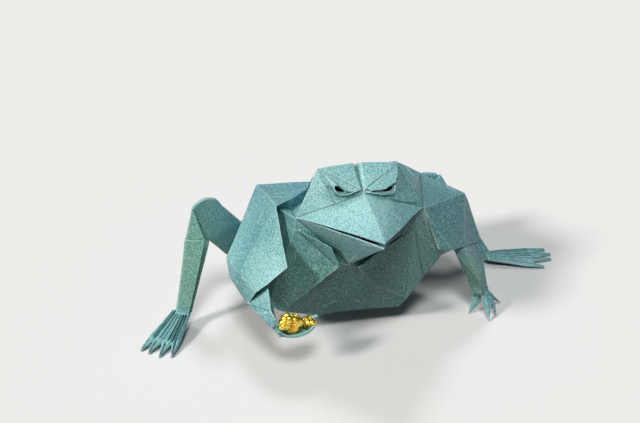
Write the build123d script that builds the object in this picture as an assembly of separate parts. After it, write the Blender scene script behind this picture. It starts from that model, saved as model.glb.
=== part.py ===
"""Origami frog, crouching, with two gold nuggets in its raised right hand.

Millimetres, +Z up. The frog looks along -Y and its own right side is -X.
It is folded from one sheet of paper, so the frog is one solid: walls as thick as the folded layers,
creases where the paper turns, and open edges where it ends. Each crease place is the middle of the paper.
The two nuggets only rest in the palm.
"""
from build123d import *
import math
import os
import numpy as np

# Paper
PAPER = 0.7            # the wall of the body, several layers of thin handmade paper pressed together
LEAF = 0.5             # a flap or toe of fewer layers
MITRE = 2.4            # how far a sharp crease may reach out, in half walls
PRESSED = 0.08         # how much paper is pressed away where it stands on the ground
SEAM = 2.0             # open slit along the belly where the two halves of the sheet meet

# Back and shoulders
BACK_R = (-33.5, 0.0, 63.0)
CREST_R = (-9.0, -2.0, 62.4)
CREST_M = (5.0, 2.0, 65.0)
CREST_L = (22.0, -4.0, 68.5)
BACK_L = (31.8, 0.0, 66.5)
SHOULDER_L = (44.0, 0.0, 59.0)
SADDLE = (1.0, 27.0, 42.0)

# Right sleeve
PEAK_R = (-30.9, -28.0, 67.2)
CURL_A = (-12.6, -10.0, 63.5)
CURL_B = (-23.2, -20.0, 64.8)
ELBOW_R = (-52.1, -20.0, 38.8)
ELBOW_R_LOW = (-51.9, -28.0, 34.1)
CREASE_R = (-49.2, -38.0, 41.4)
HEM_R = [(-32.0, -52.0, 50.5), (-40.1, -52.0, 44.1), (-45.1, -50.0, 39.0), (-47.8, -45.0, 30.5)]
POCKET_A = (-11.0, -8.5, 58.5)
POCKET_B = (-21.5, -17.0, 58.0)
POCKET_TOP = (-28.3, -20.0, 61.4)
POCKET_FOOT = (-38.0, -27.0, 35.0)

# Left sleeve
GAP_L = (33.6, -24.0, 64.9)
PEAK_L = (35.2, -33.0, 59.8)
ELBOW_L = (61.0, -15.0, 53.7)
ELBOW_L_LOW = (63.0, -14.0, 49.1)
HEM_L = [(41.0, -38.5, 41.3), (47.7, -38.0, 39.5), (56.0, -32.0, 36.8), (67.6, -22.0, 31.4)]
CUFF_L = (46.0, -20.0, 36.0)

# Chest and belly
NECK_R = (-25.4, -42.0, 63.3)
NECK_L = (29.0, -41.0, 55.8)
TIP_R = (-7.9, -51.0, 46.6)
TIP_L = (0.5, -51.0, 44.7)
NOTCH = (-3.2, -49.0, 46.1)
CHEST_R = [(-35.1, -31.0, 17.3), (-29.9, -34.1, 16.2), (-22.7, -39.5, 25.1)]
CHEST_L = [(27.4, -38.0, 16.5), (11.6, -43.8, 29.5), (6.7, -46.8, 47.7)]
THROAT_PLEAT = (-12.5, -53.5, 58.3)
STRIP_L = [(43.8, -36.0, 36.6), (35.9, -34.0, 24.1)]
BELLY = [(-14.0, -33.0, 10.2), (-3.6, -33.8, 11.0), (24.3, -35.0, 10.3)]

# Flanks and rump
FLANK_R = (-40.0, -3.0, 23.0)
FLANK_L = (43.0, 0.0, 24.0)
HIP_R = (-27.0, 18.0, 13.0)
HIP_L = (27.0, 24.0, 15.0)
RUMP = [(-8.0, 38.0, 0.0), (8.0, 38.0, 0.0), (0.0, 46.0, 0.0)]
SEAM_FRONT, SEAM_REAR, SEAM_RISE = -24.0, 28.0, (8.5, 3.5)

# Head, in its own frame: x to the side, -y ahead, z up, from the middle of the mouth line
HEAD_AT = (3.6, -41.9, 67.2)
HEAD_TURN, HEAD_ROLL, HEAD_NOD = 2.8, 4.1, -0.9
MOUTH_CORNER = (29.0, 0.0, 0.0)
NOSE = (0.0, -33.1, 1.8)
BRIDGE = (0.0, -1.4, 9.9)
CHEEK = 0.55           # how far up the cheek crease the cheek ends
CHEEK_PROUD = (0.0, -1.5, 0.9)      # how the cheek swells there
BROW_OUT = (18.1, 7.7, 18.6)
BROW_IN = (2.0, 9.2, 19.2)
BROW_DIP = (1.2, -0.5, 12.2)
BROW_SPLIT = (0.0, 9.4, 13.5)
BROW_EDGE_R = [(17.7, 2.8, 16.3), (15.8, 1.1, 14.8), (13.7, 0.1, 13.6), (12.9, -0.3, 14.4), (12.1, -0.5, 14.6),
               (11.0, -0.8, 14.0), (8.7, -1.4, 12.7), (6.6, -1.6, 12.0), (4.5, -1.6, 11.9)]
BROW_EDGE_L = [(16.9, 2.4, 15.4), (16.2, 1.5, 13.9), (14.1, 0.3, 12.6), (11.5, -0.7, 11.8), (9.5, -1.3, 11.2),
               (6.6, -1.5, 11.1), (3.9, -1.5, 11.2)]
LID_EDGE_R = [(13.8, -1.0, 14.6), (13.5, -1.9, 13.1), (12.7, -2.6, 12.1), (10.7, -3.1, 11.2), (7.6, -3.2, 11.3),
              (4.4, -2.7, 12.0), (1.6, -2.0, 12.6)]
LID_EDGE_L = [(15.2, -0.5, 12.0), (15.0, -0.9, 9.9), (13.1, -2.2, 8.9), (8.7, -3.3, 9.6), (5.1, -2.9, 10.3),
              (1.2, -1.9, 11.0)]
EYE_R = [(12.7, -0.3, 14.0), (11.7, -0.6, 14.4), (10.5, -0.9, 13.2), (8.4, -1.4, 12.1), (8.8, -1.4, 11.8),
         (10.9, -0.8, 11.7), (12.3, -0.4, 12.4)]
EYE_L = [(9.5, -1.3, 10.7), (11.8, -0.6, 11.1), (14.2, 0.3, 11.7), (14.5, 0.5, 10.0), (13.0, -0.1, 9.4),
         (9.6, -1.3, 10.1)]
EYE_DEPTH = 9.0        # how far back the eye opening is cut, through the wall of the head
BROW_DEPTH = 3.0       # how far the brow's edge turns in
LID_DEPTH = 6.2
MOUTH_GAP, JAW_BACK = 2.6, 1.0      # how far the lower jaw's tip is below and behind the nose

# Right arm, and the cupped hand that holds the nuggets
ARM_R_OUTER = [(-45.0, -36.0, 34.0), (-47.7, -46.0, 31.1), (-44.8, -54.0, 30.0), (-40.8, -60.0, 26.6),
               (-37.3, -62.0, 21.8)]
ARM_R_RIDGE = [(-40.0, -38.0, 44.0), (-39.7, -50.0, 39.7), (-40.3, -57.0, 32.6), (-38.9, -60.0, 29.9),
               (-36.0, -60.0, 25.0)]
ARM_R_BACK = [(-39.0, -32.0, 38.0), (-37.5, -43.0, 33.0), (-37.5, -51.0, 27.5), (-37.0, -56.0, 24.0),
              (-35.5, -57.5, 21.5)]

# Left arm
ARM_L_INNER = [(50.0, -22.0, 43.0), (52.0, -31.0, 34.0), (57.5, -33.0, 22.0), (60.9, -34.0, 11.0)]
ARM_L_RIDGE = [(53.0, -24.0, 44.0), (56.5, -33.5, 35.0), (61.0, -37.0, 22.5), (64.0, -37.5, 12.0)]
ARM_L_OUTER = [(60.0, -15.0, 43.0), (66.0, -23.0, 31.5), (67.6, -28.0, 21.0), (69.0, -32.0, 9.8)]

# Right hind leg
KNEE_R = [(-64.8, -10.0, 60.9), (-59.7, -8.0, 63.0), (-54.1, -6.0, 61.2), (-50.7, -4.0, 55.6)]
KNEE_R_PIT = (-59.3, -8.0, 42.6)
THIGH_R_TOP = [(-41.1, 2.0, 42.9), (-18.0, 9.0, 29.0)]
THIGH_R_LOW = [(-48.6, 2.0, 27.2), (-22.0, 8.0, 16.0)]
THIGH_DEPTH = 6.0
CREST_ROUND = 1.2      # how far apart the two layers of a leg stay at the fold
SHIN_R_OUTER = [(-64.8, -10.0, 60.9), (-68.7, -11.0, 45.4), (-75.2, -14.0, 8.5)]
SHIN_R_FRONT = [(-64.8, -10.0, 60.9), (-60.9, -12.0, 44.5), (-70.4, -15.0, 6.0)]
SHIN_R_BACK = [(-62.8, -7.0, 58.0), (-58.1, -6.5, 40.0), (-68.0, -10.0, 5.5)]

# Left hind leg
KNEE_L = [(53.3, 20.0, 47.0), (59.4, 20.0, 45.9), (65.4, 20.0, 37.4)]
THIGH_L_TOP = [(16.0, 15.0, 29.0), (40.0, 20.0, 42.0)]
THIGH_L_LOW = [(20.0, 15.0, 16.0), (42.0, 21.0, 27.0), (56.0, 19.0, 33.0)]
SHIN_L_OUTER = [(61.0, 19.0, 46.0), (72.0, 14.0, 26.5), (83.6, 6.5, 5.8)]
SHIN_L_FRONT = [(55.0, 18.0, 40.0), (66.0, 12.5, 21.0), (82.0, 5.0, 1.6)]
SHIN_L_BACK = [(58.0, 24.0, 38.0), (69.0, 18.0, 20.0), (84.0, 10.0, 2.0)]

# Feet: the heel's two corners, then the toe tips in order; pleats run from heel to toes
FOOT_R_HEEL = [(-77.2, -12.5, 9.0), (-68.0, -11.5, 7.5)]
FOOT_R_TIPS = [(-94.3, -27.9, 0.0), (-91.1, -31.1, 0.0), (-86.6, -35.1, 0.0), (-81.3, -36.4, 0.0)]
FOOT_L_HEEL = [(83.0, 10.5, 3.0), (81.5, 3.5, 3.0)]
FOOT_L_TIPS = [(114.5, 10.0, 0.0), (115.7, 5.0, 0.0), (114.4, 0.5, 0.0), (108.7, -5.5, 0.0)]
FINGERS_L = [  # each finger: root, shoulder, tip, other shoulder
    [(65.0, -34.0, 12.4), (61.6, -32.6, 9.6), (59.3, -35.0, 0.3), (65.4, -35.0, 6.8)],
    [(66.6, -33.8, 12.6), (64.5, -36.6, 7.9), (66.8, -43.2, 0.3), (69.7, -37.3, 8.7)],
    [(68.0, -32.2, 11.8), (68.0, -36.2, 6.4), (71.5, -40.4, 0.3), (71.4, -37.0, 5.6)],
    [(69.0, -32.2, 11.0), (70.4, -33.4, 6.0), (77.1, -29.5, 0.3), (73.1, -30.6, 5.4)]]
FINGER_RIDGE = 0.7     # how far a finger's middle crease stands proud
TOE_TIP = 3.0          # width of a toe at the tip
PLEATS = 2             # in each toe
CUFF = 0.15            # how much of the left forearm is doubled into a cuff
PLEAT_WALL = 0.4       # the pleats are the thinnest paper
VALLEY = 0.35          # height of the valley between two pleats, as a share of theirs
FOOT_SPLIT, FOOT_RISE = 0.72, [0.7, 1.2, 0.7]      # share of the length where toes part; pleat heights
PALM_NEAR = [(-38.8, -62.5, 25.5), (-33.0, -64.5, 22.6), (-27.0, -63.6, 22.2), (-22.6, -61.0, 22.6)]
PALM_MID = [(-37.3, -60.5, 21.6), (-31.5, -60.5, 19.6), (-26.5, -59.6, 19.6), (-23.6, -58.8, 20.6)]
PALM_FAR = [(-35.0, -56.5, 24.5), (-30.5, -54.5, 24.6), (-25.0, -54.0, 24.4), (-19.6, -55.0, 24.2)]

# Nuggets
NUGGET_LARGE = (5.6, 4.4, 5.0)
NUGGET_LARGE_AT = (-32.2, -60.4, 26.8)
NUGGET_SMALL = (3.5, 3.0, 3.0)
NUGGET_SMALL_AT = (-24.3, -58.6, 25.1)
NUGGETS_PART_X = -27.2
NUGGET_RINGS, NUGGET_SIDES = 6, 9
NUGGET_BUMPS = 0.13, 0.09           # heights of the two sets of bumps, as shares of a radius
REST_GAP = 0.15        # air left between a nugget and the paper or the other nugget


def unit(v):
    """The direction of a vector."""
    return v / np.linalg.norm(v)


def add(a, b):
    """A place moved by an offset."""
    return tuple(p + q for p, q in zip(a, b))


def between(a, b, share):
    """The place a share of the way from a to b."""
    return tuple(p + (q - p) * share for p, q in zip(a, b))


def flatten(p, plane):
    """A place moved along Y onto the plane of three others."""
    a, b, c = (np.array(q, float) for q in plane)
    normal = np.cross(b - a, c - a)
    return add(p, (0, -(normal @ (np.array(p) - a)) / normal[1], 0))


def curve(points, steps=3):
    """A smooth line through places, as a Catmull-Rom curve with that many steps from each to the next."""
    p = [np.array(q, float) for q in points]
    p = [2 * p[0] - p[1]] + p + [2 * p[-1] - p[-2]]
    line = []
    for a, b, c, d in zip(p, p[1:], p[2:], p[3:]):
        for t in (i / steps for i in range(steps)):
            bend = (c - a) * t + (2 * a - 5 * b + 4 * c - d) * t ** 2 + (3 * b - a - 3 * c + d) * t ** 3
            line.append(tuple(b + bend / 2))
    return line + [tuple(p[-2])]


def triangles(facets):
    """Facets cut into triangles from their first corner, without the ones that have no area."""
    corners, keys, tris = [], {}, []

    def corner(p):
        key = tuple(round(c, 4) for c in p)
        if key not in keys:
            keys[key] = len(corners)
            corners.append(np.array(p, float))
        return keys[key]

    for facet in facets:
        ids = [corner(p) for p in facet]
        for i in range(1, len(ids) - 1):
            if len({ids[0], ids[i], ids[i + 1]}) == 3:
                tris.append((ids[0], ids[i], ids[i + 1]))
    return corners, tris


def same_way(tris):
    """The triangles turned so that neighbours face the same side, and the edges that only one has."""
    by_edge = {}
    for t, tri in enumerate(tris):
        for i in range(3):
            by_edge.setdefault(frozenset((tri[i], tri[(i + 1) % 3])), []).append(t)
    crowded = [tuple(edge) for edge, owners in by_edge.items() if len(owners) > 2]
    if crowded:
        raise ValueError(f"creases with more than two facets: {crowded}")
    turned, waiting = {0: tris[0]}, [0]
    while waiting:
        t = waiting.pop()
        tri = turned[t]
        for i in range(3):
            a, b = tri[i], tri[(i + 1) % 3]
            for other in by_edge[frozenset((a, b))]:
                if other not in turned:
                    x = tris[other]
                    forward = (a, b) in ((x[0], x[1]), (x[1], x[2]), (x[2], x[0]))
                    turned[other] = x[::-1] if forward else x
                    waiting.append(other)
    faces = [turned[t] for t in range(len(tris))]
    rims = [(f[i], f[(i + 1) % 3]) for f in faces for i in range(3)
            if len(by_edge[frozenset((f[i], f[(i + 1) % 3]))]) == 1]
    return faces, rims


def solid_of(skin_triangles):
    """The solid inside a closed skin of triangles."""
    shell = Shell([Face(Wire.make_polygon([Vector(*p) for p in t], close=True)) for t in skin_triangles])
    return Solid(shell).fix()


def closed(facets):
    """A solid whose skin is the facets themselves."""
    corners, tris = triangles(facets)
    faces, _ = same_way(tris)
    return solid_of([(corners[a], corners[b], corners[c]) for a, b, c in faces])


def fold(facets, wall=PAPER):
    """A folded sheet as a solid: the facets are its middle, and half the wall lies on each side."""
    corners, tris = triangles(facets)
    faces, rims = same_way(tris)
    normals = [unit(np.cross(corners[b] - corners[a], corners[c] - corners[a])) for a, b, c in faces]
    reach = []
    for i in range(len(corners)):
        around = np.array([n for n, f in zip(normals, faces) if i in f])
        out = np.linalg.pinv(around, rcond=0.2) @ np.ones(len(around))
        reach.append(out * min(1.0, MITRE / np.linalg.norm(out)) * wall / 2)
    over = [c + r for c, r in zip(corners, reach)]
    under = [c - r for c, r in zip(corners, reach)]
    sides = [(over[a], over[b], over[c]) for a, b, c in faces]
    sides += [(under[c], under[b], under[a]) for a, b, c in faces]
    for a, b in rims:
        sides += [(over[b], over[a], under[a]), (over[b], under[a], under[b])]
    return solid_of(sides)


def strip(*rails):
    """The facets of a strip that runs along rails of crease places, side by side."""
    return [(p[i], p[i + 1], q[i + 1], q[i]) for p, q in zip(rails, rails[1:]) for i in range(len(p) - 1)]


def head(p, side=1):
    """A place of the head's own frame, mirrored to one side, nodded, rolled, turned and set on the neck."""
    x, y, z = p[0] * side, p[1], p[2]
    nod, roll, turn = (math.radians(a) for a in (HEAD_NOD, HEAD_ROLL, HEAD_TURN))
    y, z = y * math.cos(nod) - z * math.sin(nod), y * math.sin(nod) + z * math.cos(nod)
    x, z = x * math.cos(roll) + z * math.sin(roll), -x * math.sin(roll) + z * math.cos(roll)
    x, y = x * math.cos(turn) - y * math.sin(turn), x * math.sin(turn) + y * math.cos(turn)
    return add(HEAD_AT, (x, y, z))


def head_top(side, crest):
    """One side of the head: cheek, snout, eye hollow, brow, the split between the brows, and the nape."""
    corner, out, dip = head(MOUTH_CORNER, side), head(BROW_OUT, side), head(BROW_DIP, side)
    inner, cheek = head(BROW_IN, side), head(add(between(MOUTH_CORNER, BRIDGE, CHEEK), CHEEK_PROUD), side)
    nose, bridge, split = head(NOSE), head(BRIDGE), head(BROW_SPLIT)
    return [(out, corner, cheek), (corner, nose, cheek), (cheek, nose, bridge), (out, cheek, bridge),
            (out, bridge, dip), (out, dip, inner), (inner, dip, bridge), (inner, bridge, split),
            (out, inner, CREST_M, crest), (inner, split, CREST_M)]


def skin():
    """The closed part of the sheet: head, back, sleeves, chest, belly and rump, open at mouth and seam."""
    corner_r, corner_l = head(MOUTH_CORNER, -1), head(MOUTH_CORNER, 1)
    out_r, out_l = head(BROW_OUT, -1), head(BROW_OUT, 1)
    jaw = head(add(NOSE, (0, JAW_BACK, -MOUTH_GAP)))
    half = SEAM / 2
    seam = [(-half, SEAM_FRONT, SEAM_RISE[0]), (half, SEAM_FRONT, SEAM_RISE[0]),
            (half, SEAM_REAR, SEAM_RISE[1]), (-half, SEAM_REAR, SEAM_RISE[1])]
    rump = [add(p, (0, 0, PAPER / 2 - PRESSED)) for p in RUMP]
    facets = head_top(-1, CREST_R) + head_top(1, CREST_L)
    # neck, right and left
    facets += [(out_r, corner_r, POCKET_A), (out_r, POCKET_A, CREST_R),
               (corner_r, POCKET_TOP, POCKET_B, POCKET_A), (corner_r, NECK_R, POCKET_TOP),
               (CREST_R, CURL_A, POCKET_A), (CURL_A, CURL_B, POCKET_B, POCKET_A),
               (CURL_B, PEAK_R, POCKET_TOP, POCKET_B),
               (out_l, corner_l, CREST_L), (corner_l, GAP_L, CREST_L), (corner_l, PEAK_L, GAP_L),
               (corner_l, STRIP_L[0], HEM_L[0], PEAK_L)]
    # throat
    facets += [(corner_r, jaw, NOTCH), (corner_r, NOTCH, NECK_R), (corner_l, jaw, NOTCH),
               (corner_l, NOTCH, NECK_L)]
    # right sleeve: shoulder, outside, pocket and underside
    facets += [(BACK_R, CREST_R, CURL_A), (BACK_R, CURL_A, CURL_B), (BACK_R, CURL_B, PEAK_R),
               (BACK_R, PEAK_R, CREASE_R), (BACK_R, CREASE_R, ELBOW_R),
               (ELBOW_R, CREASE_R, ELBOW_R_LOW), (CREASE_R, HEM_R[3], ELBOW_R_LOW),
               (CREASE_R, HEM_R[2], HEM_R[3]), (CREASE_R, HEM_R[1], HEM_R[2]),
               (PEAK_R, HEM_R[1], CREASE_R), (PEAK_R, HEM_R[0], HEM_R[1]),
               (PEAK_R, HEM_R[0], POCKET_FOOT, POCKET_TOP), (POCKET_TOP, NECK_R, CHEST_R[0], POCKET_FOOT),
               (ELBOW_R_LOW, FLANK_R, POCKET_FOOT), (POCKET_FOOT, FLANK_R, CHEST_R[0])]
    facets += [(a, b, POCKET_FOOT) for a, b in zip(HEM_R, HEM_R[1:] + [ELBOW_R_LOW])]
    # left sleeve: outside and underside
    facets += [(CREST_L, GAP_L, BACK_L), (GAP_L, PEAK_L, SHOULDER_L), (GAP_L, SHOULDER_L, BACK_L),
               (PEAK_L, HEM_L[0], HEM_L[1]), (PEAK_L, HEM_L[1], ELBOW_L), (PEAK_L, ELBOW_L, SHOULDER_L),
               (HEM_L[1], HEM_L[2], ELBOW_L), (HEM_L[2], HEM_L[3], ELBOW_L_LOW, ELBOW_L),
               (STRIP_L[0], HEM_L[0], HEM_L[1], CUFF_L), (HEM_L[1], HEM_L[2], CUFF_L),
               (HEM_L[2], HEM_L[3], CUFF_L), (STRIP_L[0], CUFF_L, FLANK_L, STRIP_L[1]),
               (HEM_L[3], FLANK_L, CUFF_L), (HEM_L[3], ELBOW_L_LOW, FLANK_L),
               (ELBOW_L_LOW, ELBOW_L, SHOULDER_L, FLANK_L)]
    # chest and belly
    facets += [(NECK_R, CHEST_R[0], CHEST_R[1]), (NECK_R, CHEST_R[1], NOTCH),
               (CHEST_R[1], BELLY[0], BELLY[1], NOTCH), (NOTCH, BELLY[1], BELLY[2], CHEST_L[0]),
               (NOTCH, CHEST_L[0], NECK_L),
               (NECK_L, corner_l, STRIP_L[0], STRIP_L[1], CHEST_L[0])]
    # back and rump
    facets += [(CREST_R, CREST_M, SADDLE), (CREST_M, CREST_L, SADDLE), (CREST_L, BACK_L, SADDLE),
               (BACK_L, SHOULDER_L, SADDLE), (SHOULDER_L, HIP_L, SADDLE), (SHOULDER_L, FLANK_L, HIP_L),
               (BACK_R, CREST_R, SADDLE), (BACK_R, SADDLE, HIP_R), (BACK_R, HIP_R, FLANK_R),
               (BACK_R, FLANK_R, ELBOW_R), (ELBOW_R, FLANK_R, ELBOW_R_LOW),
               (SADDLE, HIP_R, rump[0]), (SADDLE, rump[0], rump[2]), (SADDLE, rump[2], rump[1]),
               (SADDLE, rump[1], HIP_L), tuple(rump)]
    # underside, round the seam
    facets += [(CHEST_R[0], CHEST_R[1], FLANK_R), (CHEST_R[1], BELLY[0], FLANK_R),
               (BELLY[0], seam[0], FLANK_R), (BELLY[0], BELLY[1], seam[0]), (seam[0], HIP_R, FLANK_R),
               (seam[0], seam[3], HIP_R), (seam[3], rump[0], HIP_R), (BELLY[1], seam[0], seam[1]),
               (seam[3], seam[2], rump[1], rump[0]), (BELLY[1], BELLY[2], seam[1]),
               (BELLY[2], CHEST_L[0], FLANK_L), (CHEST_L[0], STRIP_L[1], FLANK_L),
               (BELLY[2], FLANK_L, seam[1]), (seam[1], FLANK_L, HIP_L), (seam[1], HIP_L, seam[2]),
               (seam[2], HIP_L, rump[1])]
    return fold(facets)


def chest_flaps():
    """The two chest flaps that stand proud of the belly, and the narrow pleat above the right one."""
    plane_r, plane_l = (NECK_R, TIP_R, CHEST_R[0]), (NECK_L, CHEST_L[0], TIP_L)
    right = [NECK_R, TIP_R, flatten(CHEST_R[2], plane_r), flatten(CHEST_R[1], plane_r)]
    left = [NECK_L, CHEST_L[0], flatten(CHEST_L[1], plane_l), TIP_L, flatten(CHEST_L[2], plane_l)]
    return [fold([tuple(right), (NECK_R, TIP_R, THROAT_PLEAT)], LEAF), fold([tuple(left)], LEAF)]


def into_head(depth):
    """The step from an eye hollow straight into the head, in the head's own frame."""
    hollow = np.cross(np.subtract(BROW_OUT, BRIDGE), np.subtract(MOUTH_CORNER, BRIDGE))
    return unit(hollow) * depth * math.copysign(1, hollow[1])


def eyes():
    """On each side the brow, hanging over the eye hollow with its edge turned in past the first fold,
    and the lid's loop."""
    folded = []
    for side, brow_edge, lid_edge in ((-1, BROW_EDGE_R, LID_EDGE_R), (1, BROW_EDGE_L, LID_EDGE_L)):
        edge, rim = curve(brow_edge[1:]), curve(lid_edge)
        brow = [head(p, side) for p in [BROW_OUT, BROW_DIP] + edge[::-1] + brow_edge[:1]]
        turned_in = strip([head(p, side) for p in edge], [head(add(p, into_head(BROW_DEPTH)), side) for p in edge])
        lid = strip([head(p, side) for p in rim], [head(add(p, into_head(LID_DEPTH)), side) for p in rim])
        folded += [fold([tuple(brow)] + turned_in, LEAF), fold(lid, LEAF)]
    return folded


def eye_openings():
    """What is cut from the wall of the head inside each eye's loop."""
    cuts = []
    for side, outline in ((-1, EYE_R), (1, EYE_L)):
        front, rear = ([head(add(p, into_head(depth)), side) for p in outline] for depth in (0, EYE_DEPTH))
        cuts.append(closed(strip(front + front[:1], rear + rear[:1]) + [tuple(front), tuple(rear)]))
    return cuts


def right_arm(wall=LEAF):
    """The raised arm: a narrow three-sided tube that tapers to the wrist."""
    return fold(strip(ARM_R_OUTER, ARM_R_RIDGE, ARM_R_BACK, ARM_R_OUTER), wall)


def right_arm_core():
    """The space inside the raised arm, from end to end."""
    rails = (ARM_R_OUTER, ARM_R_RIDGE, ARM_R_BACK, ARM_R_OUTER)
    return closed(strip(*rails) + [tuple(rail[i] for rail in rails[:3]) for i in (0, -1)])


def left_arm():
    """The arm that stands on the ground, rolled like the other, with a doubled cuff at the wrist."""
    rails = (ARM_L_INNER, ARM_L_RIDGE, ARM_L_OUTER, ARM_L_INNER)
    cuff = [[between(rail[-1], rail[-2], CUFF), rail[-1]] for rail in rails]
    return [fold(strip(*rails), LEAF), fold(strip(*cuff), 2 * LEAF)]


def channel(front, crest, back, wall=LEAF):
    """A strip doubled over along its crest, which stays a little round."""
    return fold(strip(front, crest, [add(p, (0, CREST_ROUND, 0)) for p in crest], back), wall)


def hind_legs():
    """Each hind leg is doubled over along its top, so thigh and shin are narrow V-shaped channels.
    The right shin is doubled once more below the knee."""
    knee_r = curve(KNEE_R)
    top_r = knee_r + THIGH_R_TOP
    low_r = [KNEE_R_PIT] * len(knee_r) + THIGH_R_LOW
    top_l = THIGH_L_TOP + KNEE_L
    low_l = THIGH_L_LOW + [THIGH_L_LOW[-1]] * (len(top_l) - len(THIGH_L_LOW))
    return [channel(low_r, top_r, [add(p, (0, THIGH_DEPTH, 0)) for p in low_r]),
            channel(SHIN_R_FRONT, SHIN_R_OUTER, SHIN_R_BACK),
            channel(SHIN_R_FRONT[1:], SHIN_R_OUTER[1:], SHIN_R_BACK[1:], 2 * LEAF),
            channel(low_l, top_l, [add(p, (0, THIGH_DEPTH, 0)) for p in low_l]),
            channel(SHIN_L_FRONT, SHIN_L_OUTER, SHIN_L_BACK)]


def pleated(heel, tips, tip_width, pleats, split, rise):
    """A foot or hand: a fan of narrow pleats from heel to toes, parted between the toes past the split."""
    base = PLEAT_WALL / 2 - PRESSED
    count = len(tips)
    facets, border = [], []
    ends = []
    for i, tip in enumerate(tips):
        along = unit(np.subtract(tip, between(heel[0], heel[1], (i + 0.5) / count)) * (1, 1, 0))
        across = np.cross(along, (0, 0, 1)) * tip_width / 2
        if across @ np.subtract(heel[1], heel[0]) < 0:
            across = -across
        ends.append([add(tip, -across + (0, 0, base)), add(tip, across + (0, 0, base))])
    for i in range(count + 1):
        start = between(heel[0], heel[1], i / count)
        near = [ends[j][k] for j, k in ((i - 1, 1), (i, 0)) if 0 <= j < count]
        border.append([start, between(start, between(near[0], near[-1], 0.5), split)])
    for i, (left_end, right_end) in enumerate(ends):
        left, right = border[i] + [left_end], border[i + 1] + [right_end]
        rails = [left]
        for j in range(1, 2 * pleats):
            share = j / (2 * pleats)
            lift = rise if j % 2 else [r * VALLEY for r in rise]
            rails.append([add(between(a, b, share), (0, 0, up)) for a, b, up in zip(left, right, lift)])
        facets += strip(*rails, right)
    return fold(facets, PLEAT_WALL)


def feet():
    """The two hind feet, both pleated fans whose toes end on the ground."""
    return [pleated(heel, tips, TOE_TIP, PLEATS, FOOT_SPLIT, FOOT_RISE)
            for heel, tips in ((FOOT_R_HEEL, FOOT_R_TIPS), (FOOT_L_HEEL, FOOT_L_TIPS))]


def fingers():
    """The fingers of the left hand: kites creased along the middle, standing on their tips."""
    made = []
    for root, near, tip, far in FINGERS_L:
        out = unit(np.cross(np.subtract(near, root), np.subtract(far, root)))
        middle = add(between(near, far, 0.5), out * FINGER_RIDGE * -math.copysign(1, out[1]))
        made.append(fold([(root, near, middle), (near, tip, middle), (tip, far, middle), (far, root, middle)],
                         LEAF))
    return made


def palm(wall=LEAF):
    """The right hand: a shallow trough whose two rims end in fingertips."""
    return fold(strip(curve(PALM_NEAR), curve(PALM_MID), curve(PALM_FAR)), wall)


def nugget(radii, at, lobes, kept_side):
    """A lump of native gold: a bumpy egg, cut clear of the arm, the palm and the lump beside it.
    The kept side of the cut between the two lumps is -1 towards the wrist and 1 away from it."""
    grid = []
    for i in range(1, NUGGET_RINGS):
        polar = math.pi * i / NUGGET_RINGS
        row = []
        for j in range(NUGGET_SIDES):
            turn = 2 * math.pi * (j + 0.5 * (i % 2)) / NUGGET_SIDES
            bump = 1 + NUGGET_BUMPS[0] * math.sin(lobes * turn + 2 * polar)
            bump += NUGGET_BUMPS[1] * math.sin(2 * turn - lobes * polar)
            row.append(add(at, (radii[0] * bump * math.sin(polar) * math.cos(turn),
                                radii[1] * bump * math.sin(polar) * math.sin(turn),
                                radii[2] * bump * math.cos(polar))))
        grid.append(row)
    top, bottom = add(at, (0, 0, radii[2])), add(at, (0, 0, -radii[2]))
    skin_facets = []
    for j in range(NUGGET_SIDES):
        k = (j + 1) % NUGGET_SIDES
        skin_facets += [(top, grid[0][j], grid[0][k]), (bottom, grid[-1][k], grid[-1][j])]
        for i in range(NUGGET_RINGS - 2):
            a, b, c, d = grid[i][j], grid[i][k], grid[i + 1][k], grid[i + 1][j]
            skin_facets += [(a, d, b), (b, d, c)] if i % 2 else [(a, d, c), (a, c, b)]
    cut = Plane((NUGGETS_PART_X + kept_side * REST_GAP / 2, 0, 0), z_dir=(kept_side, 0, 0))
    lump = closed(skin_facets).split(cut, keep=Keep.TOP)
    clear = LEAF + 4 * REST_GAP
    past_rim = 2 * REST_GAP
    for away in (Pos(), Pos(Z=past_rim), Pos(Z=-past_rim)):
        lump = lump - away * palm(clear) - away * right_arm(clear) - away * right_arm_core()
    return max(lump.solids(), key=lambda piece: piece.volume)


def frog():
    """The whole folded sheet as one solid, pressed flat where it meets the ground."""
    whole = skin()
    for opening in eye_openings():
        whole = whole - opening
    sheets = chest_flaps() + eyes() + [right_arm()] + left_arm() + hind_legs() + feet() + fingers() + [palm()]
    for sheet in sheets:
        whole = whole.fuse(sheet)
    return whole.clean().split(Plane.XY, keep=Keep.TOP)


if __name__ == "__main__":
    os.makedirs("parts", exist_ok=True)
    nodes = {
        "folded_frog": frog(),
        "gold_nugget_large": nugget(NUGGET_LARGE, NUGGET_LARGE_AT, 3, -1),
        "gold_nugget_small": nugget(NUGGET_SMALL, NUGGET_SMALL_AT, 2, 1),
    }
    boxes = [shape.bounding_box() for shape in nodes.values()]
    low = [min(tuple(box.min)[i] for box in boxes) for i in range(3)]
    high = [max(tuple(box.max)[i] for box in boxes) for i in range(3)]
    to_origin = Pos(-(low[0] + high[0]) / 2, -(low[1] + high[1]) / 2, -low[2])
    for name, shape in nodes.items():
        export_step(to_origin * shape, f"parts/{name}.step")
        print(name, round(shape.volume, 1), shape.is_valid, len(shape.solids()), len(shape.faces()))
    print("low", low, "high", high)
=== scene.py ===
import math

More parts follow.
